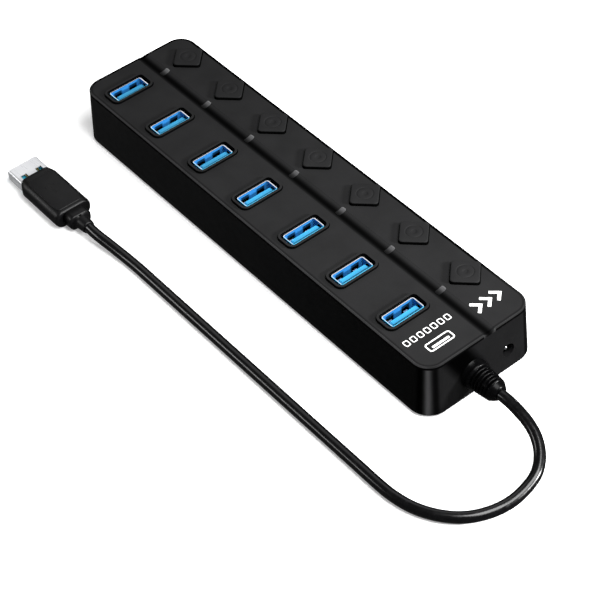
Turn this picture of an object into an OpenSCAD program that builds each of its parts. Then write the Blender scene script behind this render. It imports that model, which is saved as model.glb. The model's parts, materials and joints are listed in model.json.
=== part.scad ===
// Seven-port desktop hub: a deep tub, a flat lid with a push button and an
// indicator window beside each upright port, and a short cable that ends in a
// type-A plug. Millimetres, +Z up, +X towards the end where the cable leaves.
// The origin is on the table, under the middle of the case.

/* [Ports] */
// Number of ports in the row
port_count = 7; // [5:1:7]
// Distance from one port to the next
port_pitch = 24; // [22:0.5:28]
// Lid end without the cable to the first port's centre
far_margin = 12.2; // [12:0.1:18]
// Last port's centre to the lid end with the cable
near_margin = 23.8; // [23:0.1:34]
// Port centres, measured from the middle of the lid
port_y = -10.6; // [-11:0.1:-10]

/* [Case] */
// Width of the lid's outline
body_w = 44; // [44:0.1:48]
// Height of the case without its feet
body_h = 20.5; // [20.5:0.1:24]
// Radius of the upright corners at the lid
body_r = 6.2; // [5:0.1:8]
// How far the sides lean out for each millimetre further down
flare = 0.06; // [0.02:0.01:0.1]
// Thickness of the tub's walls
wall = 2.0; // [1.6:0.1:2.4]
// Thickness of the tub's floor
floor_t = 1.5; // [1.5:0.1:2]
// Part of each rubber foot that stands below the case
foot_h = 1; // [0.8:0.1:1.2]

/* [Lid] */
// Height of the lid's edge above the seam
lid_edge = 1.2; // [1.2:0.1:1.6]
// Depth of the lid's plate below the seam
lid_lip = 1.2; // [0.8:0.1:1.3]
// Depth of the groove that runs along the lid
groove_d = 0.6; // [0.4:0.1:0.9]
// Width of that groove
groove_w = 4.8; // [4:0.1:5]
// Middle of the groove, measured from the middle of the lid
groove_y = 3.5; // [3.2:0.1:3.8]

/* [Buttons] */
// Side of a button's square outline, which is turned 45 degrees
cap_side = 9.4; // [8.4:0.1:9.4]
// Height of a button above the lid
cap_proud = 1.2; // [1:0.1:1.6]
// How far a button travels when pressed
cap_travel = 1; // [0.6:0.1:1]
// Button centres, measured from the middle of the lid
cap_y = 14.7; // [14.3:0.1:14.7]

/* [Cable] */
// Diameter of the cable
cord_d = 3.8; // [3.4:0.1:4.2]

/* [Hidden] */
$fn = 64;
eps = 0.01;

// Levels, from the table up
base_z = foot_h;                      // underside of the tub
floor_z = base_z + floor_t;           // inside of the tub's floor
board_t = 1.6;                        // circuit board
board_z = floor_z + 0.9;              // underside of the board
deck_z = board_z + board_t;           // upper side of the board
top_z = base_z + body_h;              // upper face of the lid
seam_z = top_z - lid_edge;            // joint between tub and lid
lip_z = seam_z - lid_lip;             // underside of the lid's plate

// Case outline
body_l = far_margin + (port_count - 1) * port_pitch + near_margin;
end_x = body_l / 2;                   // lid's end on the cable side
rim_t = 0.6;                          // tub's wall beside the lid's plate
rim_drop = lid_lip + cap_travel;      // depth of that step in the wall
lid_gap = 0.1;                        // plate to tub
edge_break = 0.4;                     // broken upper edge of the lid
groove_r = (groove_w * groove_w / 4 + groove_d * groove_d) / (2 * groove_d);
corner_x = body_l / 2 - 9.5;           // rubber feet
corner_y = body_w / 2 - 7.5;
foot_d = 9;
foot_seat = 0.6;                      // recess that holds a foot
board_l = body_l - 8;
board_w = 40;

// Screws, halfway between two ports
screw_x = [for (gap = [0, port_count - 2]) port_x(0) + (gap + 0.5) * port_pitch];
screw_y = 14;
screw_d = 2.4;
head_d = 4.6;
head_h = 1.1;
boss_d = 6.2;

// Upright type-A port: 12.5 x 5.12 opening, tongue off the middle
mouth = [5.12, 12.5];
shell_t = 0.3;
shell_r = 0.6;                        // inside corner of the shell
shell_top = top_z + 0.2;
tongue_t = 1.84;
tongue_w = 11.1;
tongue_base = deck_z + 5.5;           // top of the block under the tongue
tongue_top = shell_top - 0.7;
shell_tab_t = 1;                      // tabs stand this far below the deck
window_y = 3.2;                       // sprung windows in the shell's long sides
window = [3, 4.2];
collar = [8.2, 16.7];                 // raised frame round the mouth
collar_h = 0.9;
collar_r = 2.3;
collar_lean = 0.35;                   // the frame is wider by this at its foot
moat = [6.8, 15.2];                   // sunk ring between that frame and the shell
moat_r = 1.5;
moat_d = 1.4;

// Button, and the push switch under it
cap_x = 0.6;                          // from the port's centre
cap_r = 1.2;
cap_gap = 0.2;                        // cap to the lid's hole
cap_top = top_z + cap_proud;
skirt_z = lip_z + 0.2;                // cap's underside where it passes the rim
flange_top = lip_z - 0.2;
flange_t = 1.1;
flange_side = cap_side + 1.3;
trim_y = 5;                           // cap's inner part ends here, inside the wall
switch_side = 8;
switch_top = deck_z + 7.5;
switch_bore = 3.2;
plunger_d = 3.1;
plunger_z = deck_z + 2.5;
plunger_top = switch_top + 3;
switch_well = plunger_z - cap_travel - 0.2;     // floor of the switch's bore
stem_z = switch_top + cap_travel + 0.4;
stem_d = 5;

// Indicator window: the upper end of a light guide
lens_x = 0.5;                         // from the port's centre
lens = [2, 3.6];
lens_y = 4.4;
led = [1.6, 1.2, 1.1];

// Power inlet, on the cable's end
jack_y = 10.8;
jack_z = deck_z + 3.7;
jack = [13, 7.6, 7.2];
jack_front = end_x - wall + 0.5;
jack_bore = 4.5;
jack_depth = 10;
jack_pin = 1.7;
pin_end = end_x - 0.9;                // where the pin's round tip begins
root_side = 0.9;                      // square rivet behind the pin

// Strain relief
relief_y = -3.8;
relief_z = 9.4;
relief_in = end_x - wall - 0.9;       // inner face of its flange
relief_tip = end_x + 12.7;
relief_r = 5;                         // smooth stretch through the wall

// Plug, on the table beside the case
plug_y = -52;
plug_z = 3.6;
plug_front = end_x - 177.5;           // mouth of the metal shell
grip_front = plug_front + 8;
grip_back = grip_front + 23.5;
boot_end = grip_back + 9;
boot_base = 3;                        // flat stretch behind the grip
grip = [7.2, 14.4];
grip_r = 2.6;
grip_chamfer = 0.8;
plug_mouth = [4.5, 12];
shell_l = 13.5;
tongue_l = 9.5;

// Route of the cable's axis, with x measured from the lid's end
bend = [
    [12.7, -3.8, 9.4], [15.6, -3.8, 9.4], [19.2, -3.8, 8.9], [24.6, -4.2, 7.9],
    [30, -5.6, 6.5], [34.8, -8.6, 4.9], [38.3, -13.1, 3.5], [39.8, -18.6, 2.4],
    [40.3, -24.4, 1.9], [39.7, -30, 1.9], [37.9, -35.3, 1.9], [35.2, -39.7, 1.9],
    [31.4, -43.4, 1.9], [27, -46.3, 1.9], [22, -48.4, 1.9], [16.3, -49.6, 1.9],
    [10.4, -50, 1.9]
];
run = [for (x = [0 : -11 : -110]) [x, -50, 1.9]];
rise = [
    [-116, -50.2, 2], [-121, -50.6, 2.3], [-126, -51.2, 2.9], [-130.5, -51.8, 3.4],
    [-134, -52, 3.6], [-137, -52, 3.6]
];
route = [for (p = concat(bend, run, rise)) [p[0] + end_x, p[1], p[2]]];

function port_x(i) = -body_l / 2 + far_margin + i * port_pitch;
function numbered(name) = [for (i = [1 : port_count]) str(name, i)];

// ---------------------------------------------------------------- shapes

// Upright box with round corners, [x, y] outline at the top, wider by lean at the bottom
module leaning_box(size, r, h, lean = 0) {
    half = [size[0] / 2, size[1] / 2];
    for (turn = [0, 1]) {
        a = half[turn];
        b = half[1 - turn] - r;
        rotate([90, 0, turn * 90]) translate([0, 0, -b])
            linear_extrude(2 * b)
                polygon([[-a - lean, 0], [a + lean, 0], [a, h], [-a, h]]);
    }
    for (sx = [-1, 1], sy = [-1, 1])
        translate([sx * (half[0] - r), sy * (half[1] - r), 0])
            cylinder(h = h, r1 = r + lean, r2 = r);
}

// The case's outer shape between two levels, drawn in by inset
module case_slice(z0, z1, inset = 0) {
    lean0 = flare * (top_z - z0);
    lean1 = flare * (top_z - z1);
    grow = 2 * (lean1 - inset);
    translate([0, 0, z0])
        leaning_box([body_l + grow, body_w + grow], body_r + lean1 - inset,
                    z1 - z0, lean0 - lean1);
}

module at_port(i) translate([port_x(i), port_y, 0]) children();

module at_button(i) translate([port_x(i) + cap_x, cap_y, 0]) children();

module at_lens(i) translate([port_x(i) + lens_x, lens_y, 0]) children();

module at_screws()
    for (x = screw_x, s = [-1, 1]) translate([x, s * screw_y, 0]) children();

module at_feet()
    for (sx = [-1, 1], sy = [-1, 1])
        translate([sx * corner_x, sy * corner_y, 0]) children();

// Square turned 45 degrees, with round corners
module diamond(side, z0, z1, lean = 0)
    translate([0, 0, z0]) rotate([0, 0, 45])
        leaning_box([side, side], cap_r, z1 - z0, lean);

// Cylinder along +X from x0 to x1
module rod(d, x0, x1, y, z)
    translate([x0, y, z]) rotate([0, 90, 0]) cylinder(h = x1 - x0, d = d);

// The round hollow along the lid, made shallower by lift
module groove(lift = 0)
    rod(2 * (groove_r - lift), -body_l, body_l, groove_y, top_z - groove_d + groove_r);

// Plug's block from x0 to x1 with [z, y] section, wider by lean at x0 or at x1
module bar(size, r, x0, x1, lean = 0, wide_back = false)
    translate([wide_back ? x1 : x0, plug_y, plug_z]) rotate([0, wide_back ? -90 : 90, 0])
        leaning_box(size, r, x1 - x0, lean);

// ------------------------------------------------------------------ case

module lower_housing() color([0.07, 0.07, 0.07]) {
    difference() {
        case_slice(base_z, seam_z);
        case_slice(floor_z, seam_z + eps, wall);
        case_slice(seam_z - rim_drop, seam_z + eps, rim_t);
        at_feet() translate([0, 0, base_z - eps])
            cylinder(h = foot_seat + eps, d = foot_d + 0.3);
        at_screws() {
            translate([0, 0, base_z - eps]) cylinder(h = head_h + 0.1 + eps, d = head_d + 0.6);
            cylinder(h = floor_z, d = screw_d + 0.4);
        }
        rod(jack_bore + 0.3, end_x - wall - 1, end_x + 2, jack_y, jack_z);
        rod(2 * relief_r, end_x - wall - 1, end_x + 2, relief_y, relief_z);
    }
    difference() {
        at_screws() translate([0, 0, floor_z - eps])
            cylinder(h = board_z - floor_z + eps, d = boss_d + 2.8);
        at_screws() translate([0, 0, base_z]) cylinder(h = board_z, d = screw_d + 0.4);
    }
    for (s = [-1, 1]) translate([0, s * (board_w / 2 - 2), floor_z - eps])
        cylinder(h = board_z - floor_z + eps, d = 3.2);
}

module top_cover() color([0.2, 0.2, 0.2])
    difference() {
        union() {
            case_slice(seam_z, top_z - edge_break);
            translate([0, 0, top_z - edge_break])
                leaning_box([body_l - 2 * edge_break, body_w - 2 * edge_break],
                            body_r - edge_break, edge_break, edge_break);
            case_slice(lip_z, seam_z + eps, rim_t + lid_gap);
            for (i = [0 : port_count - 1]) at_port(i) translate([0, 0, top_z - eps])
                leaning_box(collar, collar_r, collar_h + eps, collar_lean);
            at_screws() translate([0, 0, board_z]) cylinder(h = seam_z - board_z, d = boss_d);
        }
        groove();
        for (i = [0 : port_count - 1]) {
            at_port(i) {
                translate([0, 0, lip_z - 1])
                    leaning_box(mouth + [2, 2] * (shell_t + 0.1), shell_r + shell_t + 0.1,
                                lid_lip + lid_edge + 3);
                translate([0, 0, top_z - moat_d]) leaning_box(moat, moat_r, moat_d + 1);
            }
            at_button(i) diamond(cap_side + 2 * cap_gap, lip_z - 1, top_z + 1);
            at_lens(i) translate([0, 0, lip_z - 1])
                leaning_box(lens + [0.1, 0.1], 0.65, lid_lip + lid_edge + 2);
        }
        at_screws() translate([0, 0, board_z - eps]) cylinder(h = 9, d = screw_d + 0.1);
    }

module rubber_feet() color([0.12, 0.12, 0.12])
    at_feet() {
        cylinder(h = 0.3, d1 = foot_d - 0.6, d2 = foot_d);
        translate([0, 0, 0.3]) cylinder(h = foot_h + foot_seat - 0.3, d = foot_d);
    }

module case_screws() color([0.7, 0.7, 0.72])
    at_screws() difference() {
        union() {
            translate([0, 0, base_z + 0.1]) cylinder(h = head_h, d = head_d);
            translate([0, 0, base_z + head_h]) cylinder(h = 7.5, d = screw_d);
        }
        for (turn = [0, 90]) rotate([0, 0, turn])
            translate([-1.3, -0.25, base_z]) cube([2.6, 0.5, 0.7]);
    }

// ----------------------------------------------------------- electronics

module circuit_board() color([0.05, 0.3, 0.15])
    difference() {
        translate([0, 0, board_z]) leaning_box([board_l, board_w], 3, board_t);
        at_screws() translate([0, 0, board_z - 1]) cylinder(h = board_t + 2, d = boss_d + 0.6);
        for (i = [0 : port_count - 1]) at_port(i) shell_tabs(0.15);
    }

module hub_controllers() color([0.1, 0.1, 0.11])
    for (gap = [1.5, port_count - 2.5]) translate([port_x(gap), 0, deck_z]) {
        translate([-4.5, -10, 0]) cube([9, 9, 0.9]);
        translate([-5.2, -9.2, 0]) cube([10.4, 7.4, 0.35]);
    }

module capacitors() color([0.75, 0.75, 0.78])
    for (gap = [port_count / 2 - 1, port_count / 2]) translate([port_x(gap), 10.5, deck_z]) {
        cylinder(h = 0.9, d = 5.6);
        translate([0, 0, 0.9 - eps]) cylinder(h = 4.8, d = 5);
    }

module status_leds() color([0.9, 0.9, 0.75])
    for (i = [0 : port_count - 1]) at_lens(i)
        translate([-led[0] / 2, -led[1] / 2, deck_z]) cube(led);

module led_lens(i) color([0.45, 0.46, 0.48])
    difference() {
        at_lens(i) translate([0, 0, deck_z + led[2] + 0.3])
            leaning_box(lens, 0.6, top_z - deck_z - led[2] - 0.3);
        groove(0.1);
    }

// Solder tabs at the two short sides of a port's shell
module shell_tabs(grow = 0)
    for (s = [-1, 1])
        translate([-1.5 - grow, s * (mouth[1] + shell_t) / 2 - shell_t / 2 - grow, board_z - 0.6])
            cube([3 + 2 * grow, shell_t + 2 * grow, board_t + shell_tab_t]);

module port_shell(i) color([0.75, 0.76, 0.8])
    at_port(i) {
        difference() {
            translate([0, 0, deck_z])
                leaning_box(mouth + [2, 2] * shell_t, shell_r + shell_t, shell_top - deck_z);
            translate([0, 0, deck_z - 1])
                leaning_box(mouth, shell_r, shell_top - deck_z + 2);
            for (y = [-window_y, window_y])
                translate([-5, y - window[0] / 2, shell_top - 2.1 - window[1]])
                    cube([10, window[0], window[1]]);
            translate([-1, -10, shell_top - 3.4]) cube([2, 20, 2.4]);
        }
        shell_tabs();
        for (sx = [-1, 1], y = [-window_y, window_y])
            translate([sx * mouth[0] / 2, y, shell_top - 2.1 - window[1]])
                mirror([sx < 0 ? 1 : 0, 0, 0]) contact_spring();
    }

// Leaf of the shell that bends in through a window
module contact_spring()
    rotate([90, 0, 0]) translate([0, 0, -0.8])
        linear_extrude(1.6)
            polygon([[0, -0.3], [0.25, -0.3], [0.1, 2.7], [-0.45, 2.3], [-0.3, 2], [0, 0.3]]);

module port_tongue(i) color([0.05, 0.45, 0.85])
    at_port(i) {
        translate([0, 0, deck_z])
            leaning_box(mouth - [0.1, 0.1], shell_r, tongue_base - deck_z);
        translate([0, -tongue_w / 2, tongue_base - eps]) rotate([90, 0, 90])
            linear_extrude(tongue_t)
                polygon([[0, 0], [tongue_w, 0],
                         [tongue_w, tongue_top - tongue_base - 0.5],
                         [tongue_w - 0.5, tongue_top - tongue_base],
                         [0.5, tongue_top - tongue_base],
                         [0, tongue_top - tongue_base - 0.5]]);
    }

// Flat contacts on a face: four wide ones near the mouth, five narrow ones behind
module contact_rows(t, near, far)
    for (row = [0, 1], y = row == 0 ? [-3.5, -1, 1, 3.5] : [-4, -2, 0, 2, 4]) {
        w = row == 0 ? 1 : 0.7;
        span = row == 0 ? near : far;
        translate([-t, y - w / 2, span[0]]) cube([t, w, span[1] - span[0]]);
    }

module port_contacts() color([0.85, 0.7, 0.35])
    for (i = [0 : port_count - 1]) at_port(i)
        contact_rows(0.12, [tongue_top - 3.6, tongue_top - 0.6],
                     [tongue_base + 0.4, tongue_top - 4.2]);

module switch_body(i) color([0.15, 0.15, 0.16])
    at_button(i) difference() {
        translate([0, 0, deck_z])
            leaning_box([switch_side, switch_side], 0.5, switch_top - deck_z);
        translate([0, 0, switch_well]) cylinder(h = switch_top, d = switch_bore);
    }

module switch_plunger(i) color([0.9, 0.9, 0.88])
    at_button(i) translate([0, 0, plunger_z])
        cylinder(h = plunger_top - plunger_z, d = plunger_d);

// Only the cap's upper part is a whole diamond: below the lid it stays inside the wall
module button_cap(i) color([0.16, 0.16, 0.16])
    at_button(i) {
        diamond(cap_side, skirt_z, cap_top - 0.3);
        diamond(cap_side - 0.6, cap_top - 0.3 - eps, cap_top, 0.3);
        intersection() {
            union() {
                diamond(cap_side, flange_top - eps, skirt_z + eps);
                diamond(flange_side, flange_top - flange_t, flange_top);
            }
            translate([-10, -10, 0]) cube([20, 10 + trim_y, cap_top]);
        }
        difference() {
            translate([0, 0, stem_z])
                cylinder(h = flange_top - flange_t - stem_z + eps, d = stem_d);
            translate([0, 0, stem_z - eps])
                cylinder(h = plunger_top - stem_z + eps, d = plunger_d);
        }
    }

// ----------------------------------------------------------- power inlet

module dc_jack_body() color([0.12, 0.12, 0.13])
    difference() {
        translate([jack_front - jack[0], jack_y - jack[1] / 2, deck_z]) cube(jack);
        rod(jack_bore, jack_front - jack_depth, jack_front + 1, jack_y, jack_z);
        pin_root(0.02, jack_front - jack[0] - 1);
        translate([jack_front - jack_depth + 0.2, jack_y - 1.3, deck_z + 0.5])
            cube([8, 2.6, jack_z - deck_z - jack_pin / 2 - 0.6]);
    }

// Square rivet that holds the pin in the jack's back wall
module pin_root(grow, x0) {
    side = root_side + 2 * grow;
    translate([x0, jack_y - side / 2, jack_z - side / 2])
        cube([jack_front - jack_depth - x0 + eps, side, side]);
}

module dc_jack_contacts() color([0.8, 0.8, 0.82]) {
    pin_root(0, jack_front - jack[0] - 0.5);
    rod(jack_pin, jack_front - jack_depth, pin_end, jack_y, jack_z);
    translate([pin_end, jack_y, jack_z]) sphere(d = jack_pin);
    translate([jack_front - jack_depth + 0.3, jack_y - 1.2, deck_z + 0.6])
        cube([7.8, 2.4, 0.25]);
}

// ------------------------------------------------------- cable and plug

module strain_relief() color([0.09, 0.09, 0.09])
    translate([relief_in, relief_y, relief_z]) rotate([90, 0, 90]) rotate_extrude()
        polygon(relief_outline());

// Flange inside the wall, smooth collar through it, six ribs, tapered tip
function relief_outline() = concat(
    [[0, 0], [relief_r + 1.3, 0], [relief_r + 1.3, 1.1], [relief_r, 1.1],
     [relief_r, 6], [relief_r - 0.3, 6.4]],
    [for (n = [0 : 5], p = [[-0.7, 0.1], [-0.7, 0.5], [0, 0.6], [0, 1.15]])
        [relief_r - 0.5 - 0.12 * n + p[0], 6.4 + 1.2 * n + p[1]]],
    [[3.5, 13.8], [2.9, 15], [2.6, relief_tip - relief_in], [0, relief_tip - relief_in]]);

module cable_leads() color([0.75, 0.2, 0.15])
    for (n = [-2 : 2]) translate([0, relief_y + 1.5 * n, relief_z - 0.4 * abs(n)]) {
        fall = relief_z - 0.4 * abs(n) - deck_z;
        x = end_x - 6 - 0.6 * abs(n);
        translate([x, 0, 0]) rotate([0, 90, 0]) cylinder(h = relief_in - x, d = 0.9);
        translate([x, 0, 0]) sphere(d = 0.9);
        translate([x, 0, -fall]) cylinder(h = fall, d = 0.9);
    }

// Tube of eight sides along the route, its flats on the cable's radius
sides = 8;
function tangent(i) = let (
        a = route[max(i - 1, 0)], b = route[min(i + 1, len(route) - 1)], d = b - a
    ) d / norm(d);
function ring(i) = let (
        t = tangent(i),
        side = cross(t, [0, 0, 1]) / norm(cross(t, [0, 0, 1])),
        up = cross(side, t),
        r = cord_d / 2 / cos(180 / sides)
    ) [for (k = [0 : sides - 1]) let (a = 360 * (k + 0.5) / sides)
        route[i] + r * (cos(a) * side + sin(a) * up)];

module cable() color([0.05, 0.05, 0.05]) {
    rings = [for (i = [0 : len(route) - 1]) each ring(i)];
    last = (len(route) - 1) * sides;
    polyhedron(
        rings,
        concat(
            [[for (k = [0 : sides - 1]) k]],
            [[for (k = [sides - 1 : -1 : 0]) last + k]],
            [for (i = [0 : len(route) - 2], k = [0 : sides - 1]) let (
                    a = i * sides + k, b = i * sides + (k + 1) % sides
                ) [a, a + sides, b + sides, b]]));
}

module plug_grip() color([0.11, 0.11, 0.11])
    difference() {
        union() {
            bar(grip - [1, 1] * grip_chamfer * 2, grip_r - grip_chamfer, grip_front,
                grip_front + grip_chamfer + eps, grip_chamfer, true);
            bar(grip, grip_r, grip_front + grip_chamfer, grip_back - 2);
            bar(grip - [1, 1] * 2, grip_r - 1, grip_back - 2 - eps, grip_back, 1);
            bar([5.8, 8.2], 2.6, grip_back - eps, grip_back + boot_base);
            rod(5.6, grip_back, grip_back + boot_base + 1.8, plug_y, plug_z);
            translate([grip_back + boot_base + 1.8 - eps, plug_y, plug_z]) rotate([0, 90, 0])
                cylinder(h = boot_end - grip_back - boot_base - 1.8, d1 = 5.6, d2 = 4.8);
        }
        bar(plug_mouth, shell_r + shell_t, plug_front - 1, plug_front + shell_l);
    }

module plug_shell() color([0.85, 0.85, 0.87])
    difference() {
        bar(plug_mouth, shell_r + shell_t, plug_front, plug_front + shell_l);
        bar(plug_mouth - [2, 2] * shell_t, shell_r, plug_front - 1, plug_front + shell_l + 1);
        for (s = [-1, 1])
            translate([plug_front + 5.3, plug_y + s * 3 - 1.2, plug_z - 5])
                cube([2.1, 2.4, 10]);
    }

module plug_tongue() color([0.05, 0.45, 0.75])
    translate([plug_front + 0.5, plug_y, plug_z - plug_mouth[0] / 2 + shell_t]) {
        translate([0, -5, 0]) cube([tongue_l, 10, 1.9]);
        translate([0, -5.65, 0.6]) cube([tongue_l, 11.3, 1.3]);
    }

module plug_contacts() color([0.85, 0.7, 0.35])
    translate([0, plug_y, plug_z - plug_mouth[0] / 2 + shell_t + 1.9]) rotate([0, 90, 0])
        contact_rows(0.12, [plug_front + 0.9, plug_front + 5], [plug_front + 5.8, plug_front + 9.4]);

// --------------------------------------------------------------- the part

lower_housing();
top_cover();
circuit_board();
for (i = [0 : port_count - 1]) {
    port_shell(i);
    port_tongue(i);
    button_cap(i);
    switch_plunger(i);
    switch_body(i);
    led_lens(i);
}
status_leds();
port_contacts();
hub_controllers();
capacitors();
dc_jack_body();
dc_jack_contacts();
rubber_feet();
case_screws();
cable_leads();
strain_relief();
cable();
plug_grip();
plug_shell();
plug_tongue();
plug_contacts();
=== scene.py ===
"""Looks for the seven-port hub: camera, cable, detailed pieces, materials and studio."""

import json
import math

import bmesh
import bpy
from mathutils import Matrix, Vector


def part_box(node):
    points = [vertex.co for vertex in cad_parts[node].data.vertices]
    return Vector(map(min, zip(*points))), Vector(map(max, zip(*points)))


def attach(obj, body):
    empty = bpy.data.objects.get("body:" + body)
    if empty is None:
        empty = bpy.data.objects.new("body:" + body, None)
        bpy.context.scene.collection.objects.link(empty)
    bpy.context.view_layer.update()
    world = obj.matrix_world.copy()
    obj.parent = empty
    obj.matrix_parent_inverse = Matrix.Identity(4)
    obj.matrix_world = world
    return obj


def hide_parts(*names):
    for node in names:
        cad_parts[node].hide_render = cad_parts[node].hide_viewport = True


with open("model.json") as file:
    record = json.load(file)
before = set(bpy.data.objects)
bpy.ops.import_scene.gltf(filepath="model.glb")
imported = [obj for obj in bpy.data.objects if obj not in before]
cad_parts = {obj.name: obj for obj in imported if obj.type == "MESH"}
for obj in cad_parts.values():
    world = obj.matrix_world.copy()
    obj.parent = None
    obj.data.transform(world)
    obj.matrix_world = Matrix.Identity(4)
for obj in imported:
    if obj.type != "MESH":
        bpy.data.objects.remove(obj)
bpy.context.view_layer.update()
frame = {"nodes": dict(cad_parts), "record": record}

MM = 0.001
PORTS = 7
HUB = "hub"

# The lid: half its length, half its width, the radius of its corners and the level of its face.
LID_END = 0.09
LID_SIDE = 0.022
LID_CORNER = 0.0062
LID_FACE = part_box("led_lens_1")[1].z


def middle(node):
    """Middle of a CAD node's box."""
    low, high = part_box(node)
    return (low + high) / 2


# --------------------------------------------------------------------------------------
# Camera
# --------------------------------------------------------------------------------------

def facing(place, target):
    """Transform that stands at place and looks at target."""
    look = (Vector(target) - Vector(place)).to_track_quat("-Z", "Y").to_matrix().to_4x4()
    return Matrix.Translation(place) @ look


def add_camera(place, target, roll, lens):
    """Camera at place, looking at target, leaning by roll degrees."""
    data = bpy.data.cameras.new("camera")
    data.lens = lens
    data.sensor_width = 36
    data.clip_start = 0.01
    camera = bpy.data.objects.new("camera", data)
    bpy.context.scene.collection.objects.link(camera)
    camera.matrix_world = facing(place, target) @ Matrix.Rotation(math.radians(roll), 4, "Z")
    bpy.context.scene.camera = camera


add_camera(
    place=(0.37494, -0.27355, 0.45),
    target=(0.0126, -0.01006, -0.01485),
    roll=-4.43,
    lens=115.5,
)


# --------------------------------------------------------------------------------------
# Mesh helpers
# --------------------------------------------------------------------------------------

def new_object(name, verts, faces, smooth):
    """Mesh object from plain lists, with its normals facing out."""
    mesh = bpy.data.meshes.new(name)
    mesh.from_pydata([tuple(v) for v in verts], [], faces)
    shape = bmesh.new()
    shape.from_mesh(mesh)
    bmesh.ops.remove_doubles(shape, verts=shape.verts, dist=1e-7)
    bmesh.ops.recalc_face_normals(shape, faces=shape.faces)
    shape.to_mesh(mesh)
    shape.free()
    piece = bpy.data.objects.new(name, mesh)
    bpy.context.scene.collection.objects.link(piece)
    for face in mesh.polygons:
        face.use_smooth = smooth
    return piece


def skin(rings, first):
    """Corners and faces of a closed skin through rings of points, flat at both ends.

    The corners are numbered from first.
    """
    count = len(rings[0])
    verts = [p for ring in rings for p in ring]
    faces = [
        (i * count + k, i * count + (k + 1) % count,
         (i + 1) * count + (k + 1) % count, (i + 1) * count + k)
        for i in range(len(rings) - 1) for k in range(count)
    ]
    faces.append(tuple(range(count - 1, -1, -1)))
    faces.append(tuple((len(rings) - 1) * count + k for k in range(count)))
    return verts, [tuple(first + corner for corner in face) for face in faces]


def loft(name, *parts):
    """Smooth object from closed skins, each through its own rings of points."""
    verts, faces = [], []
    for rings in parts:
        more_verts, more_faces = skin(rings, len(verts))
        verts += more_verts
        faces += more_faces
    return new_object(name, verts, faces, True)


def round_rectangle(width, height, radius, steps):
    """Outline of a rectangle with round corners, as (u, v) points."""
    points = []
    for corner, (su, sv) in enumerate(((1, 1), (-1, 1), (-1, -1), (1, -1))):
        for step in range(steps + 1):
            angle = math.radians(90 * (corner + step / steps))
            points.append((
                su * (width / 2 - radius) + radius * math.cos(angle),
                sv * (height / 2 - radius) + radius * math.sin(angle),
            ))
    return points


def outline_at(centre, size, radius, steps=5):
    """Round rectangle about a centre: the centre in metres, its size in millimetres."""
    return [(centre[0] + u * MM, centre[1] + v * MM)
            for u, v in round_rectangle(*size, radius, steps)]


def smooth_path(points, per_span):
    """Catmull-Rom curve through points."""
    points = [Vector(p) for p in points]
    ends = [2 * points[0] - points[1]] + points + [2 * points[-1] - points[-2]]
    path = []
    for i in range(1, len(ends) - 2):
        a, b, c, d = ends[i - 1:i + 3]
        for step in range(per_span):
            t = step / per_span
            path.append(0.5 * (2 * b + (c - a) * t + (2 * a - 5 * b + 4 * c - d) * t ** 2
                               + (3 * b - a - 3 * c + d) * t ** 3))
    return path + [points[-1]]


def path_length(path):
    """Length of a path, span by span."""
    return sum((b - a).length for a, b in zip(path, path[1:]))


def tube_rings(path, radius, sides):
    """Circles along a path that stay upright, so the tube doesn't twist."""
    rings = []
    for i, place in enumerate(path):
        along = (path[min(i + 1, len(path) - 1)] - path[max(i - 1, 0)]).normalized()
        across = along.cross(Vector((0, 0, 1))).normalized()
        up = across.cross(along)
        rings.append([
            place + radius * (math.cos(a) * across + math.sin(a) * up)
            for a in (2 * math.pi * k / sides for k in range(sides))
        ])
    return rings


def soften(piece, width):
    """Rounds a piece's sharp edges."""
    bevel = piece.modifiers.new("edges", "BEVEL")
    bevel.width = width
    bevel.segments = 2
    bevel.limit_method = "ANGLE"
    bevel.angle_limit = math.radians(30)


# --------------------------------------------------------------------------------------
# The cable, on the same route as its CAD solid
# --------------------------------------------------------------------------------------

# The cord's diameter, in metres.
CORD_D = 0.0038

# Millimetres, with x from the end of the lid: down and round, along the case, up to the plug.
BEND = [
    (12.7, -3.8, 9.4), (15.6, -3.8, 9.4), (19.2, -3.8, 8.9), (24.6, -4.2, 7.9),
    (30, -5.6, 6.5), (34.8, -8.6, 4.9), (38.3, -13.1, 3.5), (39.8, -18.6, 2.4),
    (40.3, -24.4, 1.9), (39.7, -30, 1.9), (37.9, -35.3, 1.9), (35.2, -39.7, 1.9),
    (31.4, -43.4, 1.9), (27, -46.3, 1.9), (22, -48.4, 1.9), (16.3, -49.6, 1.9),
    (10.4, -50, 1.9),
]
RUN = [(x, -50, 1.9) for x in range(0, -111, -11)]
RISE = [
    (-116, -50.2, 2), (-121, -50.6, 2.3), (-126, -51.2, 2.9), (-130.5, -51.8, 3.4),
    (-134, -52, 3.6), (-137, -52, 3.6),
]
route = [(LID_END + x * MM, y * MM, z * MM) for x, y, z in BEND + RUN + RISE]
cord_path = smooth_path(route, 6)
cable = loft("cable_jacket", tube_rings(cord_path, CORD_D / 2, 24))
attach(cable, HUB)
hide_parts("cable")


# --------------------------------------------------------------------------------------
# Strain relief
# --------------------------------------------------------------------------------------

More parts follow.
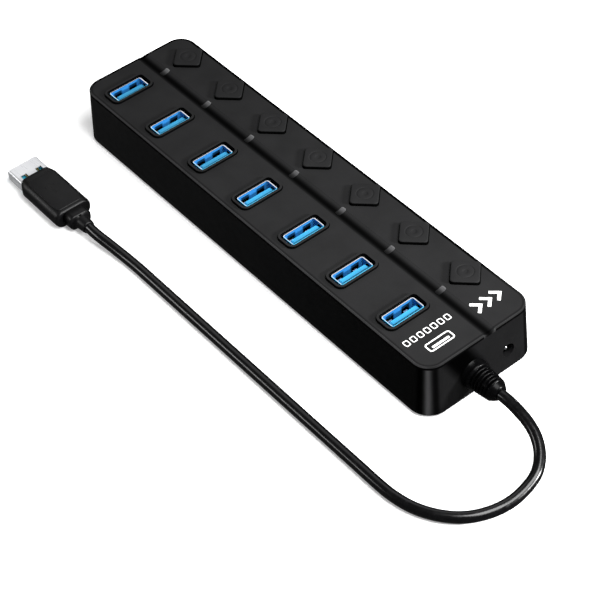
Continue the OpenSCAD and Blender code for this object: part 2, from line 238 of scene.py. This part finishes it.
def relief_piece():
    """Ribbed sleeve: two bridges cross each gap, turned a quarter turn from gap to gap."""
    ribs, pitch, first_rib, narrowing = 6, 1.2, 6.4, 0.12
    columns, bridge, first_turn = 72, math.radians(50), math.radians(121)
    low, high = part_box("strain_relief")
    axis = middle("strain_relief")
    flange = (high.z - low.z) / 2 / MM
    collar = flange - 1.3

    def ring(x, radius, gap_depth=0.0, turn=0.0):
        """Ring of points at x, sunk by gap_depth where no bridge crosses it."""
        points = []
        for k in range(columns):
            angle = 2 * math.pi * k / columns
            from_bridge = abs((angle - turn + math.pi / 2) % math.pi - math.pi / 2)
            depth = 0.05 if from_bridge < bridge / 2 else gap_depth
            r = radius - min(depth, gap_depth)
            points.append((low.x + x * MM, axis.y + r * math.cos(angle) * MM,
                           axis.z + r * math.sin(angle) * MM))
        return points

    rings = [ring(x, r) for x, r in (
        (0, flange - 0.2), (0.15, flange), (0.95, flange), (1.1, flange - 0.2),
        (1.1, collar), (5.5, collar), (5.9, collar - 0.06), (6.3, collar - 0.3),
    )]
    for n in range(ribs):
        x, r = first_rib + n * pitch, collar - 0.5 - narrowing * n
        turn = first_turn + n * math.pi / 2
        rings += [
            ring(x, r, 0.8, turn), ring(x + 0.03, r, 1, turn), ring(x + 0.5, r, 1, turn),
            ring(x + 0.53, r, 0.2, turn), ring(x + 0.6, r), ring(x + 0.85, r + 0.03),
            ring(x + 1.1, r), ring(x + 1.17, r, 0.2, turn + math.pi / 2),
        ]
    rings += [ring(x, r) for x, r in (
        (13.7, 3.62), (14.1, 3.5), (14.7, 3.15), (15.2, 2.8), (15.45, 2.6), (15.6, 2.35),
    )]
    return loft("relief_sleeve", rings)


relief = relief_piece()
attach(relief, HUB)
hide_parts("strain_relief")


# --------------------------------------------------------------------------------------
# Flat lines: marks on the lid and on the plug
# --------------------------------------------------------------------------------------

def borders(points, width, closed):
    """Both borders of a flat line through points, mitred at the corners."""
    count = len(points)
    points = [Vector(p) for p in points]
    sides = ([], [])
    for k, place in enumerate(points):
        before = points[k - 1] if closed or k else 2 * place - points[1]
        after = points[(k + 1) % count] if closed or k < count - 1 else 2 * place - points[k - 1]
        way_in, way_out = (place - before).normalized(), (after - place).normalized()
        across = Vector((-(way_in + way_out).y, (way_in + way_out).x)).normalized()
        reach = width / 2 / across.dot(Vector((-way_in.y, way_in.x)))
        sides[0].append(place + reach * across)
        sides[1].append(place - reach * across)
    return sides


def flat_lines(name, lines, level, height):
    """Solid lines of the given height that stand on a level; each is (points, width, closed)."""
    verts, faces = [], []
    for points, width, closed in lines:
        edges = borders(points, width, closed)
        count, first = len(points), len(verts)
        for z in (level, level + height):
            for side in edges:
                verts += [(p.x, p.y, z) for p in side]
        tube = (2, 3, 1, 0)
        for k in range(count if closed else count - 1):
            after = (k + 1) % count
            for a, b in zip(tube, tube[1:] + tube[:1]):
                around = ((a, k), (b, k), (b, after), (a, after))
                faces.append(tuple(first + side * count + step for side, step in around))
        if not closed:
            for k in (0, count - 1):
                faces.append(tuple(first + side * count + k for side in tube))
    return new_object(name, verts, faces, False)


def metres(*points):
    """Points given in millimetres."""
    return [(x * MM, y * MM) for x, y in points]


def lid_marks():
    """White print at the cable's end: a row of port symbols, a larger one, three chevrons."""
    row_x, symbol_x, chevron_x = (LID_END / MM - inwards for inwards in (13.3, 7.4, 10.2))
    row_y, row_step = -1.8, -2.75
    chevron_y, chevron_step, reach, rise = 6.6, 4, 2.3, 2.5
    lines = []
    for n in range(PORTS):
        centre = (row_x * MM, (row_y + row_step * n) * MM)
        lines.append((outline_at(centre, (2.1, 1.6), 0.4), 0.32 * MM, True))
    lines.append((outline_at((symbol_x * MM, -10.2 * MM), (3.2, 9.6), 0.8), 0.45 * MM, True))
    bar_x = symbol_x + 0.45
    lines.append((metres((bar_x, -13.6), (bar_x, -6.8)), 0.8 * MM, False))
    for n in range(3):
        y = chevron_y + chevron_step * n
        chevron = metres((chevron_x - reach, y), (chevron_x, y + rise), (chevron_x + reach, y))
        lines.append((chevron, 1.1 * MM, False))
    return flat_lines("lid_marks", lines, LID_FACE, 0.03 * MM)


marks = lid_marks()
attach(marks, HUB)


# --------------------------------------------------------------------------------------
# Buttons
# --------------------------------------------------------------------------------------

# Millimetres: the side and the corners of a cap, the side of the catch plate under it, and how
# far the plate reaches in +Y before it is cut off straight.
CAP_SIDE = 9.4
CAP_CORNER = 1.2
CATCH_SIDE = CAP_SIDE + 1.3
CATCH_CUT = 5.0


def diamond(side, corner, columns):
    """Square outline turned 45 degrees, as points at even steps of angle."""
    reach = side / 2 - corner
    points = []
    for k in range(columns):
        angle = 2 * math.pi * (k + 0.5) / columns
        u, v = math.cos(angle), math.sin(angle)
        scale = side / 2 / max(abs(u), abs(v))
        over_u, over_v = abs(u) * scale - reach, abs(v) * scale - reach
        if over_u > 0 and over_v > 0:
            b = reach * (abs(u) + abs(v))
            scale = b + math.sqrt(b * b - 2 * reach * reach + corner * corner)
        points.append((u * scale, v * scale))
    turn = math.sqrt(0.5)
    return [((u - v) * turn, (u + v) * turn) for u, v in points]


def circle(radius, columns):
    """Circle whose points lie at the same angles as those of a diamond."""
    return [(radius * math.cos(a), radius * math.sin(a))
            for a in (2 * math.pi * (k + 0.5) / columns + math.pi / 4 for k in range(columns))]


def button_piece(number):
    """Cap with a soft edge and a sunk ring on top, its catch plate and its hollow stem."""
    columns = 96
    low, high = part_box(f"button_cap_{number}")
    axis = middle(f"switch_plunger_{number}")
    top, bottom = high.z / MM, low.z / MM
    skirt = LID_FACE / MM - 2.2
    catch_bottom = skirt - 1.5

    def ring(outline, z, cut=None):
        """Outline at height z, with its +Y corner cut off straight where a cut is given."""
        return [(axis.x + u * MM, axis.y + (v if cut is None else min(v, cut)) * MM, z * MM)
                for u, v in outline]

    cap = [ring(diamond(CAP_SIDE - 2 * d, CAP_CORNER - min(d, 0.5) * 0.6, columns), z)
           for d, z in ((0.1, skirt), (0, skirt + 0.15), (0, top - 0.42), (0.03, top - 0.26),
                        (0.12, top - 0.12), (0.26, top - 0.03), (0.42, top))]
    cap += [ring(circle(r, columns), top - sunk) for r, sunk in (
        (3.2, 0), (3.05, 0), (2.98, 0.03), (2.9, 0.08), (2.6, 0.08), (2.52, 0.03), (2.45, 0),
        (1.0, 0), (0.92, 0.03), (0.85, 0.08), (0.3, 0.08),
    )]
    catch = [ring(diamond(CATCH_SIDE, CAP_CORNER, columns), z, CATCH_CUT)
             for z in (catch_bottom, skirt - 0.4)]
    stem = [ring(circle(r, columns), z) for r, z in (
        (2.5, catch_bottom), (2.5, bottom + 0.1), (2.4, bottom), (1.62, bottom),
        (1.55, bottom + 0.1), (1.55, skirt - 1.6),
    )]
    piece = loft(f"button_{number}_top", cap, catch, stem)
    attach(piece, f"button_{number}")
    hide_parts(f"button_cap_{number}")
    return piece


buttons = [button_piece(n + 1) for n in range(PORTS)]


# --------------------------------------------------------------------------------------
# Plug's grip
# --------------------------------------------------------------------------------------

def grip_piece():
    """Overmoulded grip with cut front corners, a raised panel on top and a tapered boot."""
    low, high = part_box("plug_grip")
    axis = middle("plug_grip")

    def section(x, width, height, radius):
        """Round rectangle across the grip, x from its front."""
        return [(low.x + x * MM, axis.y + u * MM, axis.z + v * MM)
                for u, v in round_rectangle(width, height, radius, 10)]

    body = [section(*row) for row in (
        (0, 10.6, 6.0, 1.6), (0.12, 11.2, 6.5, 1.9), (0.4, 11.9, 6.8, 2.1),
        (1.9, 13.6, 7.0, 2.9), (2.5, 14.2, 7.0, 3.2), (3.2, 14.4, 7.0, 3.3),
        (22.3, 14.4, 7.0, 3.3), (22.9, 14.2, 6.8, 3.2), (23.3, 13.7, 6.3, 2.9),
        (23.47, 13.2, 5.8, 2.4), (23.5, 12.6, 5.2, 2.1),
    )]
    boot = [section(*row) for row in (
        (23, 8.9, 5.9, 2.3), (27.2, 8.5, 5.8, 2.3), (27.5, 8.3, 5.6, 2.2), (27.6, 7.9, 5.2, 2),
        (27.6, 5.6, 5.2, 2.5), (29, 5.2, 5.1, 2.5), (32, 4.7, 4.7, 2.35),
        (32.35, 4.5, 4.5, 2.25), (32.5, 4.1, 4.1, 2.05),
    )]
    panel_middle = (low.x + 12.4 * MM, axis.y)
    panel = [
        [(x, y, high.z - drop * MM) for x, y in outline_at(panel_middle, size, radius, 10)]
        for drop, size, radius in (
            (1.2, (19.2, 10.4), 1.6), (0.12, (19.2, 10.4), 1.6), (0.03, (19.05, 10.25), 1.5),
            (0, (18.8, 10), 1.4),
        )
    ]
    return loft("plug_overmould", body, boot, panel)


def grip_mark():
    """Faint raised arrow that points to the plug's mouth, with a tail."""
    low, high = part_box("plug_grip")
    x, y = low.x / MM + 8.2, (low.y + high.y) / 2 / MM
    head = metres((x + 1.6, y - 1.8), (x, y), (x + 1.6, y + 1.8))
    tail = metres((x + 2.2, y), (x + 5.6, y))
    lines = [(points, 0.45 * MM, False) for points in (head, tail)]
    return flat_lines("plug_mark", lines, high.z, 0.05 * MM)


grip = grip_piece()
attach(grip, HUB)
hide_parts("plug_grip")
plug_mark = grip_mark()
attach(plug_mark, HUB)


# --------------------------------------------------------------------------------------
# Fields: numbers and colours that vary over a piece
# --------------------------------------------------------------------------------------

class Field:
    """A node's output, which takes part in sums as a plain number would."""

    def __init__(self, tree, socket):
        self.tree = tree
        self.socket = socket

    def feeds(self, entry):
        """Links the field to an input."""
        self.tree.links.new(self.socket, entry)

    def calculate(self, operation, *values):
        """Field made by a Math node from fields or plain numbers."""
        node = self.tree.nodes.new("ShaderNodeMath")
        node.operation = operation
        for entry, value in zip(node.inputs, values):
            if isinstance(value, Field):
                value.feeds(entry)
            else:
                entry.default_value = value
        return Field(self.tree, node.outputs["Value"])

    def __add__(self, other):
        return self.calculate("ADD", self, other)

    def __sub__(self, other):
        return self.calculate("SUBTRACT", self, other)

    def __rsub__(self, other):
        return self.calculate("SUBTRACT", other, self)

    def __mul__(self, other):
        return self.calculate("MULTIPLY", self, other)

    def __truediv__(self, other):
        return self.calculate("DIVIDE", self, other)

    def __mod__(self, other):
        return self.calculate("MODULO", self, other)

    def __abs__(self):
        return self.calculate("ABSOLUTE", self)

    def root(self):
        return self.calculate("SQRT", self)

    def at_least(self, other):
        return self.calculate("MAXIMUM", self, other)

    def at_most(self, other):
        return self.calculate("MINIMUM", self, other)

    def above(self, level):
        """One where the field is above the level, nought elsewhere."""
        return self.calculate("GREATER_THAN", self, level)

    def below(self, level):
        """One where the field is below the level, nought elsewhere."""
        return self.calculate("LESS_THAN", self, level)


def place_of(tree):
    """The piece's own coordinates, as three fields."""
    place = tree.nodes.new("ShaderNodeTexCoord")
    parts = tree.nodes.new("ShaderNodeSeparateXYZ")
    tree.links.new(place.outputs["Object"], parts.inputs["Vector"])
    return [Field(tree, parts.outputs[axis]) for axis in "XYZ"]


def noise(tree, scale, detail, stretch=(1, 1, 1)):
    """Noise in the piece's own coordinates, its size in features per metre."""
    place = tree.nodes.new("ShaderNodeTexCoord")
    mapping = tree.nodes.new("ShaderNodeMapping")
    mapping.inputs["Scale"].default_value = stretch
    texture = tree.nodes.new("ShaderNodeTexNoise")
    texture.inputs["Scale"].default_value = scale
    texture.inputs["Detail"].default_value = detail
    tree.links.new(place.outputs["Object"], mapping.inputs["Vector"])
    tree.links.new(mapping.outputs["Vector"], texture.inputs["Vector"])
    return Field(tree, texture.outputs["Fac"])


def ramp(field, low, high, start=0.3, end=0.7):
    """Colour that goes from low to high as the field goes from start to end."""
    node = field.tree.nodes.new("ShaderNodeValToRGB")
    node.color_ramp.elements[0].position = start
    node.color_ramp.elements[1].position = end
    node.color_ramp.elements[0].color = (*low, 1)
    node.color_ramp.elements[1].color = (*high, 1)
    field.feeds(node.inputs["Fac"])
    return Field(field.tree, node.outputs["Color"])


def spread(field, low, high):
    """Number that goes from low to high as the field goes from 0.3 to 0.7."""
    node = field.tree.nodes.new("ShaderNodeMapRange")
    node.inputs["From Min"].default_value = 0.3
    node.inputs["From Max"].default_value = 0.7
    node.inputs["To Min"].default_value = low
    node.inputs["To Max"].default_value = high
    field.feeds(node.inputs["Value"])
    return Field(field.tree, node.outputs["Result"])


def follow(field, stops):
    """Number that follows a list of (value, share), with straight lines in between."""
    lowest, highest = stops[0][0], stops[-1][0]
    along = (field - lowest) / (highest - lowest)
    node = field.tree.nodes.new("ShaderNodeValToRGB")
    elements = node.color_ramp.elements
    for k, (at, share) in enumerate(stops):
        position = (at - lowest) / (highest - lowest)
        last = k == len(stops) - 1
        element = elements[0] if k == 0 else elements[-1] if last else elements.new(position)
        element.position = position
        element.color = (share, share, share, 1)
    along.feeds(node.inputs["Fac"])
    return Field(field.tree, node.outputs["Color"])


def in_mm(*stops, start=0):
    """Stops given as (millimetres past the start, share)."""
    return [(start + at * MM, share) for at, share in stops]


def scaled(color, share):
    """Colour multiplied by a share or by another colour."""
    node = color.tree.nodes.new("ShaderNodeVectorMath")
    node.operation = "MULTIPLY"
    color.feeds(node.inputs[0])
    share.feeds(node.inputs[1])
    return Field(color.tree, node.outputs["Vector"])


def bump(shader, field, strength, depth):
    """Relief that follows the field."""
    node = field.tree.nodes.new("ShaderNodeBump")
    node.inputs["Strength"].default_value = strength
    node.inputs["Distance"].default_value = depth
    field.feeds(node.inputs["Height"])
    field.tree.links.new(node.outputs["Normal"], shader.inputs["Normal"])


# --------------------------------------------------------------------------------------
# Painted light and shade: by how much the colour at each place of a piece is dimmed or lit
# --------------------------------------------------------------------------------------

# The middle of the lid's groove, the level just under the ports' rims, and how far a port's
# two sprung windows lie from its middle.
GROOVE_Y = 3.45 * MM
SHELL_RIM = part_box("port_shell_1")[1].z - 0.1 * MM
WINDOW_Y = 3.2 * MM

# Keeps a division from failing where the second number is nought.
TINY = 0.00001


def past_corner(x, y):
    """How far a point lies beyond the centres of the case's round corners, on x and on y."""
    return [(abs(axis) - (half - LID_CORNER)).at_least(0)
            for axis, half in ((x, LID_END), (y, LID_SIDE))]


def distance(first, second):
    """Length of the line whose two parts are given."""
    return (first * first + second * second).root()


def painted_far_shade(x):
    """Painted shade: the top is a little darker toward the end away from the cable."""
    return follow(x, [(-LID_END, 0.72), (-0.045, 0.79), (0, 0.93), (0.04, 1), (LID_END, 1.02)])


def housing_shade(tree):
    """Painted light and shade: a painted highlight down each upright corner with darker painted
    flanks, long sides painted darker toward the cable's end, and the soft painted shadow that
    leans up from the cable."""
    x, y, z = place_of(tree)
    past_x, past_y = past_corner(x, y)
    turn = past_x.at_most(past_y) / (past_x.at_least(past_y) + TINY)
    # Painted highlight down the middle of each upright corner, with darker painted flanks beside
    # it.
    painted_corner_highlight = follow(turn, [
        (0, 1), (0.2, 1), (0.35, 0.25), (0.47, 0.2), (0.58, 0.45), (0.7, 1.9), (0.84, 5),
        (0.93, 6.6), (1, 7),
    ])
    # Painted shade: the long sides darken toward the cable's end.
    on_side = follow(past_x / (past_y + TINY), [(0, 1), (0.5, 1), (0.85, 0), (1, 0)])
    painted_side_shade = follow(x, [(-LID_END, 1), (0, 0.74), (LID_END, 0.3)])
    side = on_side * painted_side_shade + (1 - on_side)
    # Painted shadow of the strain relief on the end face: a soft dark stroke that leans up from
    # the cable.
    relief_axis = middle("strain_relief")
    over, up = y - relief_axis.y, z - relief_axis.z
    # The painted shadow's direction, and then how far a point lies along it and across it.
    lean_y, lean_z = -0.49, 0.87
    along = over * lean_y + up * lean_z
    across = over * lean_z + up * -lean_y
    painted_shadow = follow(distance(across, along.at_most(0)), in_mm(
        (2.5, 0.06), (3.4, 0.13), (4.5, 0.45), (6, 1), (20, 1)))
    # The other half of the case, which has no cable, has no painted shadow.
    painted_shadow = painted_shadow.at_least(x.below(0))
    return painted_corner_highlight * side * painted_shadow


def lid_shade(tree):
    """Painted shade in hollows, down the port frames' walls, in the groove and along the far
    edges;
    a painted highlight along the lid's near edges, with a painted dark line just inside them.
    """
    x, y, z = place_of(tree)
    # Painted shade down the walls of hollows and of the port frames; the frames' tops stay lit.
    painted_wall_shade = follow(z, in_mm(
        (-0.12, 0.06), (-0.04, 1), (0.03, 1), (0.1, 0.08), (0.72, 0.08), (0.82, 1), (0.9, 1),
        start=LID_FACE))
    # Painted shade in the groove, darkest along its middle, with a little painted light on its
    # +Y edge.
    in_groove = abs(y - GROOVE_Y).below(2.4 * MM)
    painted_groove_shade = follow(y, in_mm(
        (1.05, 1), (1.3, 0.86), (1.65, 0.6), (2, 0.37), (2.35, 0.21), (2.7, 0.12), (3, 0.085),
        (3.5, 0.085), (3.8, 0.12), (4.1, 0.2), (4.4, 0.34), (4.7, 0.57), (5, 0.84),
        (5.3, 1.1), (5.6, 1.25), (5.85, 1.15), (6, 1)))
    # Painted highlight along the lid's edge, strongest on the long sides.
    past_x, past_y = past_corner(x, y)
    out = distance(past_x, past_y)
    by_side = follow(past_x / (past_y + TINY), [(0, 2), (0.6, 1.5), (1.3, 0.6), (2, 0.55)])
    by_depth = follow(z, in_mm((-0.44, 0), (-0.36, 1), (0.1, 1), start=LID_FACE))
    painted_edge_highlight = out.above(LID_CORNER - 0.5 * MM) * (by_depth * by_side)
    # Painted shade: a dark line just under a millimetre in from the edge.
    painted_dark_line = follow(out, [(0, 1)] + in_mm(
        (-1.3, 1), (-1, 0.6), (-0.6, 0.6), (-0.48, 1), (0, 1), start=LID_CORNER))
    # Painted shade along the far edges, on the +Y side and at the far end.
    far_side = follow(y / LID_SIDE - x / LID_END, [(-2.2, 0), (0, 0), (0.25, 1), (2.2, 1)])
    at_edge = follow(out, [(0, 0)] + in_mm(
        (-1.35, 0), (-1.05, 0.92), start=LID_CORNER) + [(0.01, 0.92)])
    level = painted_wall_shade.at_least(in_groove).at_least(painted_edge_highlight)
    return level * painted_groove_shade * painted_dark_line * (1 - far_side * at_edge) * painted_far_shade(x)


def cap_shade(tree):
    """Painted shade: a cap is dark down its sides, and darkens with the lid toward the far end.
    """
    x, _, z = place_of(tree)
    painted_wall_shade = follow(z, in_mm((0, 0.08), (0.8, 0.1), (1.05, 1), (1.2, 1), start=LID_FACE))
    return painted_wall_shade * painted_far_shade(x)


def lens_shade(tree):
    """Painted light and shade: a light guide is painted bright at its far end and dark where it
    dips into the groove.
    """
    _, y, _ = place_of(tree)
    return follow(y, in_mm(
        (2.6, 0.04), (3.2, 0.06), (3.8, 0.12), (4.3, 0.25), (4.8, 0.55), (5.2, 0.9), (5.5, 1),
        (5.9, 1), (6.2, 0.8)))


def port_place(x):
    """How far a point lies in +X from the middle of its port."""
    first, second = middle("port_shell_1"), middle("port_shell_2")
    pitch = abs(second.x - first.x)
    # Whole pitches that keep the sum above nought all along the case.
    whole_pitches = 20
    return (x + ((whole_pitches + 0.5) * pitch - first.x)) % pitch - pitch / 2


def painted_lit_rim(x, y):
    """Mask for painted light: one on the two edges of a port's rim painted as catching the
    light, nought on the other two.
    """
    return port_place(x).below(2.3 * MM) * y.above(middle("port_shell_1").y - 6.4 * MM)


def tongue_shade(tree):
    """Painted shade: the tongue is dark along the edge next to the shell, and darker toward the
    far end.
    """
    x, _, _ = place_of(tree)
    by_edge = follow(port_place(x), in_mm((0, 1), (1.35, 1), (1.6, 0.3), (2, 0.3)))
    return by_edge * painted_far_shade(x)


def painted_window_shade(y, z):
    """Painted shade: darker blue on the shell's walls round the sprung windows of a port."""
    aside = abs(abs(y - middle("port_shell_1").y) - WINDOW_Y)
    near = follow(aside, in_mm((0, 0.12), (1.3, 0.15), (2, 1), (3, 1)))
    return near.at_least(z.above(SHELL_RIM - 0.9 * MM))


# --------------------------------------------------------------------------------------
# Materials
# --------------------------------------------------------------------------------------

MATERIALS = {}


def new_material(name):
    """Keeps a new material in MATERIALS, and gives its node tree and its shader."""
    material = bpy.data.materials.new(name)
    material.use_nodes = True
    MATERIALS[name] = material
    return material.node_tree, material.node_tree.nodes["Principled BSDF"]


def plastic(name, color, rough, specular=0.3, grain=5000, depth=0.00002, mottle=0.12,
            shade=None):
    """Moulded plastic: fine spark-eroded grain, slight mottling in colour and gloss.

    shade, where it is given, makes the field of painted light and shade that dims or lights the
    colour and the gloss by place.
    """
    tree, shader = new_material(name)
    low = [c * (1 - mottle) for c in color]
    high = [c * (1 + mottle) for c in color]
    tint = ramp(noise(tree, 90, 3), low, high)
    shader.inputs["Specular IOR Level"].default_value = specular
    if shade:
        share = shade(tree)
        tint = scaled(tint, share)
        (share * specular).feeds(shader.inputs["Specular IOR Level"])
    tint.feeds(shader.inputs["Base Color"])
    spread(noise(tree, 300, 4), rough - 0.04, rough + 0.05).feeds(shader.inputs["Roughness"])
    bump(shader, noise(tree, grain, 2), 0.35, depth)


def metal(name, color, rough, stretch, inside=None, shine=1):
    """Plated metal: a little uneven in gloss, with faint drawing lines.

    inside is (level, colour): a painted reflection of the lit blue plastic tints the metal below
    that level, and the two edges of the rim that face away from the light, which are painted a
    lighter cyan.
    """
    tree, shader = new_material(name)
    shader.inputs["Metallic"].default_value = shine
    lines = noise(tree, 900, 5, stretch)
    tint = ramp(lines, [c * 0.93 for c in color], color)
    if inside:
        level, painted_reflection_tint = inside
        x, y, z = place_of(tree)
        # Painted reflection of the blue plastic below the rim and on its two unlit edges,
        # painted shade round the windows; the two lit edges keep bright, fully metallic metal as
        # a painted highlight.
        rim = z.above(level)
        lit = rim * painted_lit_rim(x, y)
        tint = scaled(tint, ramp(lit, painted_reflection_tint, (1, 1, 1)))
        tint = scaled(tint, painted_window_shade(y, z))
        tint = scaled(tint, ramp(rim - lit, (1, 1, 1), (2, 1.8, 1.1)))
        spread(lit, 0.45, 1).feeds(shader.inputs["Metallic"])
    tint.feeds(shader.inputs["Base Color"])
    spread(lines, rough, rough + 0.06).feeds(shader.inputs["Roughness"])
    bump(shader, lines, 0.1, 0.000004)


def rubber(name, color, rough, specular=0.3):
    """Soft moulded elastomer with a dusty, uneven surface."""
    tree, shader = new_material(name)
    dust = noise(tree, 700, 6)
    ramp(dust, color, [c * 1.5 for c in color], 0.45, 0.8).feeds(shader.inputs["Base Color"])
    spread(dust, rough - 0.05, rough + 0.08).feeds(shader.inputs["Roughness"])
    shader.inputs["Specular IOR Level"].default_value = specular
    bump(shader, noise(tree, 2600, 3), 0.25, 0.00002)


def light_guide(name, color):
    """Cloudy moulded light guide, with painted light and shade by place."""
    tree, shader = new_material(name)
    cloud = noise(tree, 800, 4)
    share = lens_shade(tree)
    tint = scaled(ramp(cloud, [c * 0.85 for c in color], color), share)
    tint.feeds(shader.inputs["Base Color"])
    (share * 0.4).feeds(shader.inputs["Specular IOR Level"])
    spread(cloud, 0.32, 0.44).feeds(shader.inputs["Roughness"])
    bump(shader, noise(tree, 1800, 2), 0.1, 0.00001)


def solder_mask(name):
    """Green solder mask over faint copper tracks."""
    tree, shader = new_material(name)
    tracks = noise(tree, 260, 1, (1, 4, 1))
    green = ramp(tracks, (0.01, 0.09, 0.03), (0.03, 0.17, 0.06), 0.48, 0.5)
    green.feeds(shader.inputs["Base Color"])
    spread(tracks, 0.3, 0.42).feeds(shader.inputs["Roughness"])
    bump(shader, tracks, 0.3, 0.00003)


plastic("housing_plastic", (0.0034, 0.0034, 0.0036), 0.55, 0.08, shade=housing_shade)
plastic("cover_plastic", (0.011, 0.011, 0.0113), 0.6, 0.07, shade=lid_shade)
plastic("button_plastic", (0.0105, 0.0105, 0.0108), 0.6, 0.07, shade=cap_shade)
solder_mask("board")
# The port shells take a painted reflection of the blue plastic inside them.
metal("port_metal", (0.93, 0.95, 1), 0.2, (1, 1, 0.1), inside=(SHELL_RIM, (0.035, 0.26, 0.64)))
plastic("port_insulator", (0.026, 0.255, 0.47), 0.4, 0.3, 3000, shade=tongue_shade)
plastic("plunger_plastic", (0.75, 0.74, 0.7), 0.4, 0.5)
plastic("switch_plastic", (0.02, 0.02, 0.022), 0.45, 0.4)
light_guide("lens_plastic", (0.068, 0.068, 0.07))
plastic("led_chip", (0.8, 0.75, 0.4), 0.35, 0.5)
metal("contact_gold", (0.85, 0.6, 0.22), 0.2, (0.2, 1, 1))
plastic("chip", (0.015, 0.015, 0.016), 0.6, 0.3, 9000, 0.00003)
metal("can_metal", (0.72, 0.72, 0.74), 0.3, (1, 1, 0.2))
plastic("jack_plastic", (0.0003, 0.0003, 0.0003), 0.5, 0.02)
metal("jack_metal", (0.85, 0.85, 0.87), 0.14, (0.1, 1, 1))
rubber("foot_rubber", (0.02, 0.02, 0.02), 0.75)
metal("screw_steel", (0.55, 0.55, 0.57), 0.3, (1, 1, 0.3))
plastic("wire_plastic", (0.4, 0.03, 0.02), 0.35, 0.5)
rubber("relief_rubber", (0.0008, 0.0008, 0.0009), 0.26, 0.06)
rubber("cable_jacket", (0.0012, 0.0012, 0.0014), 0.2, 0.3)
plastic("grip_plastic", (0.0018, 0.0018, 0.002), 0.4, 0.17)
metal("plug_metal", (0.5, 0.505, 0.52), 0.25, (0.1, 1, 1), shine=0.5)
plastic("plug_insulator", (0.04, 0.5, 0.72), 0.4, 0.4)
plastic("ink", (0.86, 0.86, 0.85), 0.55, 0.3, 9000, 0.000005, 0.03)


def paint(piece, slot):
    """Gives a piece one material in place of its own."""
    piece.data.materials.clear()
    piece.data.materials.append(MATERIALS[slot])


for part in frame["record"]["subparts"]:
    paint(frame["nodes"][part["node"]], part["material_slot"])
paint(cable, "cable_jacket")
paint(relief, "relief_rubber")
paint(marks, "ink")
paint(grip, "grip_plastic")
paint(plug_mark, "grip_plastic")
for button in buttons:
    paint(button, "button_plastic")
for n in range(PORTS):
    soften(frame["nodes"][f"port_shell_{n + 1}"], 0.1 * MM)


# --------------------------------------------------------------------------------------
# Studio
# --------------------------------------------------------------------------------------

def add_floor(half, level):
    """White floor, a little under the feet, that glossy rays don't see."""
    corners = ((-half, -half), (half, -half), (half, half), (-half, half))
    floor = new_object("floor", [(x, y, level) for x, y in corners], [(0, 1, 2, 3)], False)
    _, shader = new_material("floor")
    shader.inputs["Base Color"].default_value = (0.9, 0.9, 0.9, 1)
    shader.inputs["Roughness"].default_value = 0.9
    shader.inputs["Specular IOR Level"].default_value = 0
    shader.inputs["Emission Color"].default_value = (1, 1, 1, 1)
    shader.inputs["Emission Strength"].default_value = 0.25
    paint(floor, "floor")
    floor.visible_glossy = False


def add_light(name, place, target, size, power):
    """Flat rectangular light at place, aimed at target."""
    data = bpy.data.lights.new(name, "AREA")
    data.shape = "RECTANGLE"
    data.size, data.size_y = size
    data.energy = power
    light = bpy.data.objects.new(name, data)
    bpy.context.scene.collection.objects.link(light)
    light.matrix_world = facing(place, target)


def add_world(strength):
    """Even white light from all round."""
    world = bpy.data.worlds.new("studio")
    world.use_nodes = True
    background = world.node_tree.nodes["Background"]
    background.inputs["Color"].default_value = (1, 1, 1, 1)
    background.inputs["Strength"].default_value = strength
    bpy.context.scene.world = world


add_floor(3, -0.00005)
add_world(0.12)
add_light("overhead", (0.4, 0.1, 0.7), (0, 0, 0), (0.5, 0.5), 13)
add_light("end_side", (0.85, 0.6, 0.4), (0.09, 0, 0.01), (0.15, 0.15), 27)
add_light("back_card", (-0.75, 0.55, 0.95), (0, 0, 0.02), (0.9, 0.9), 2.5)
add_light("low_card", (-0.5, -0.6, 0.34), (0, -0.05, 0), (0.45, 0.16), 2.4)
bpy.context.scene.view_settings.view_transform = "Standard"


# --------------------------------------------------------------------------------------
# The cord's length, end
# --------------------------------------------------------------------------------------

path_length(cord_path)
bpy.context.view_layer.update()
